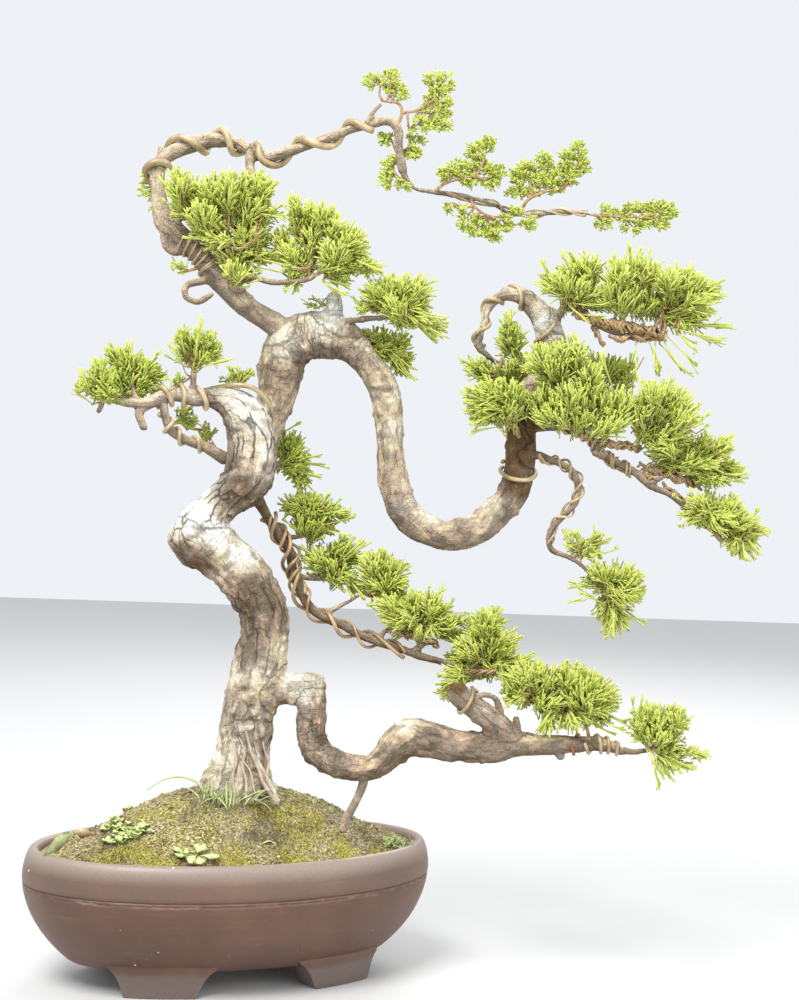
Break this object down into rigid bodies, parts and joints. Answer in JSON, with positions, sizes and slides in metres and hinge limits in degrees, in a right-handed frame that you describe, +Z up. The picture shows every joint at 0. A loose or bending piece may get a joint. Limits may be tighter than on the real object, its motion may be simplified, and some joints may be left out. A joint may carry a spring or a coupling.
{
  "type": "chinese juniper bonsai",
  "caption": "Wired juniper bonsai with a winding bare trunk, an arching limb, tufted sprays of shoots and a low cascading limb, planted in an oval clay pot on bracket feet.",
  "frame": {"origin": "middle of the part's bounding box, on the ground under the pot's feet", "axes": "+Z up along the tree, +X to the viewer's right, +Y away from the viewer"},
  "size_m": [0.5704, 0.2018, 0.7196],
  "materials": {
    "clay": "unglazed matte",
    "soil": "loose grit with moss",
    "bark": "rough weathered bark",
    "wire": "satin anodised",
    "copper_wire": "satin",
    "foliage": "living shoots"
  },
  "bodies": {
    "root": {"foliage_arch_1": "foliage", "foliage_arch_2": "foliage", "foliage_arch_3": "foliage", "foliage_cascade_1": "foliage", "foliage_cascade_2": "foliage", "foliage_cascade_3": "foliage", "foliage_cascade_4": "foliage", "foliage_cascade_5": "foliage", "foliage_cascade_6": "foliage", "foliage_crown_1": "foliage", "foliage_crown_2": "foliage", "foliage_crown_3": "foliage", "foliage_crown_4": "foliage", "foliage_fan_1": "foliage", "foliage_fan_2": "foliage", "foliage_fan_3": "foliage", "foliage_fan_4": "foliage", "foliage_fan_5": "foliage", "foliage_fan_6": "foliage", "foliage_hanging_1": "foliage", "foliage_hanging_2": "foliage", "foliage_high_1": "foliage", "foliage_high_2": "foliage", "foliage_high_3": "foliage", "foliage_hook": "foliage", "foliage_left_1": "foliage", "foliage_left_2": "foliage", "foliage_left_3": "foliage", "foliage_left_4": "foliage", "foliage_left_5": "foliage", "foliage_low_1": "foliage", "foliage_low_2": "foliage", "foliage_low_3": "foliage", "foliage_pad_1": "foliage", "foliage_pad_2": "foliage", "foliage_pad_3": "foliage", "foliage_right_1": "foliage", "foliage_right_2": "foliage", "foliage_right_3": "foliage", "foliage_upper_1": "foliage", "foliage_upper_2": "foliage", "pot": "clay", "soil": "soil", "wire_arch": "wire", "wire_cascade_a": "wire", "wire_cascade_b": "wire", "wire_copper": "copper_wire", "wire_crown": "wire", "wire_hanging": "wire", "wire_left": "wire", "wire_loop": "wire", "wire_low": "wire", "wire_right": "wire", "wire_ring": "wire", "wire_stump": "wire", "wire_tip": "wire", "wire_top": "wire", "wood": "bark"}
  },
  "joints": []
}
